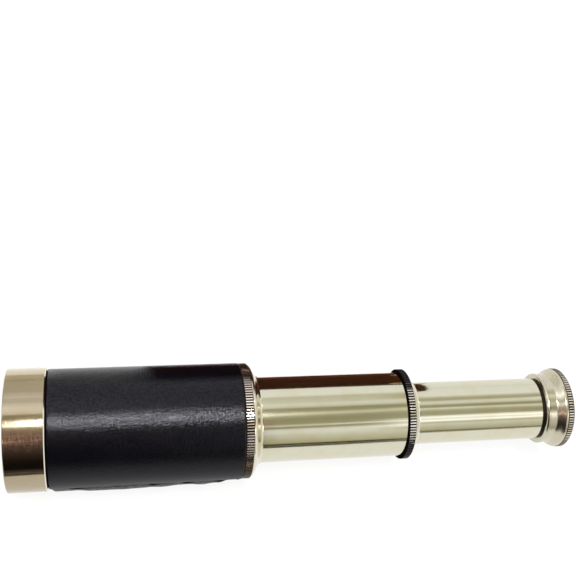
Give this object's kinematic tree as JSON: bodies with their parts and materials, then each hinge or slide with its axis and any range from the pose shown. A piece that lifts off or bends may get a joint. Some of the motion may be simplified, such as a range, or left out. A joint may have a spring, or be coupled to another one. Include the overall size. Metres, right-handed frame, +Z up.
{
  "type": "spyglass",
  "caption": "Pocket spyglass with a leather-covered barrel, sliding brass draw tubes, knurled screw-in collars, a glass objective and a flared, knurled eyepiece.",
  "frame": {"origin": "the middle of the spyglass's length with both draws out, on the surface it lies on, straight under the optical axis", "axes": "+X along the optical axis towards the eyepiece, +Z up, +Y to the side away from the leather's seam"},
  "size_m": [0.1524, 0.032, 0.032],
  "materials": {
    "satin_brass": "satin, turned",
    "polished_brass": "polished, drawn along its length",
    "collar_brass": "polished, with dark tarnish in the knurl",
    "dark_collar_brass": "blackened rim worn bright on the crests, polished shoulder",
    "inner_brass": "turned",
    "blackened_metal": "blackened, matt",
    "black_leather": "smooth black grain",
    "lens_glass": "polished"
  },
  "bodies": {
    "barrel": {"objective_ring": "satin_brass", "objective_front_lens": "lens_glass", "objective_rear_lens": "lens_glass", "objective_retainer": "blackened_metal", "main_barrel": "inner_brass", "leather_wrap": "black_leather", "barrel_collar": "collar_brass", "barrel_guide_sleeve": "inner_brass"},
    "draw_1": {"draw_tube_1": "polished_brass", "draw_1_stop_ring": "inner_brass", "draw_1_collar": "dark_collar_brass", "draw_1_guide_sleeve": "inner_brass"},
    "draw_2": {"draw_tube_2": "polished_brass", "draw_2_stop_ring": "inner_brass", "erector_tube": "blackened_metal", "erector_lens_front": "lens_glass", "erector_lens_rear": "lens_glass", "erector_lens_rings": "inner_brass", "erector_stop": "blackened_metal", "eyepiece_holder": "blackened_metal", "field_lens": "lens_glass", "field_lens_ring": "inner_brass", "field_stop": "blackened_metal", "eyepiece_bell": "satin_brass", "eye_lens": "lens_glass", "eye_lens_ring": "inner_brass"}
  },
  "joints": [
    {"name": "draw_1_slide", "type": "slide", "parent": "barrel", "child": "draw_1", "axis": [-1, 0, 0], "range_m": [0, 0.039]},
    {"name": "draw_2_slide", "type": "slide", "parent": "draw_1", "child": "draw_2", "axis": [-1, 0, 0], "range_m": [0, 0.036]}
  ]
}
